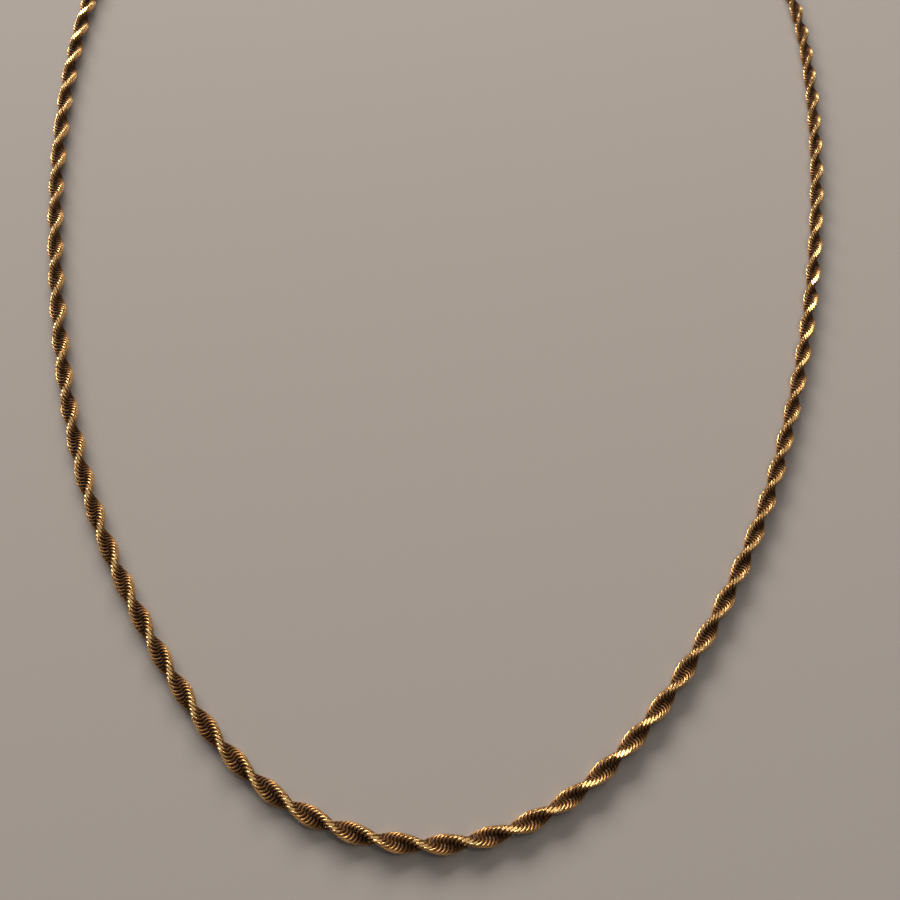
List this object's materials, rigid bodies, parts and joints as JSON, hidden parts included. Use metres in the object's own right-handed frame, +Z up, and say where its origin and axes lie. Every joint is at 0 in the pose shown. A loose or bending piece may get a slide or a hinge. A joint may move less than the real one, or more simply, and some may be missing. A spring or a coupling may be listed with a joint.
{
  "type": "rope chain necklace",
  "caption": "Gold rope chain necklace of two twisted strands of small links, lying as an oval loop and closed at the back by a plain box clasp.",
  "frame": {"origin": "on the surface that the necklace lies on, under the middle of the loop", "axes": "+Z up from the surface, +Y towards the clasp at the back of the neck, -Y towards the front, +X to the right as seen from above with the clasp away"},
  "size_m": [0.151, 0.2325, 0.0045],
  "materials": {
    "rope_gold": "worn yellow gold links with diamond-cut ridges",
    "clasp_gold": "polished yellow gold"
  },
  "bodies": {
    "root": {"rope_chain": "rope_gold", "clasp": "clasp_gold"}
  },
  "joints": []
}
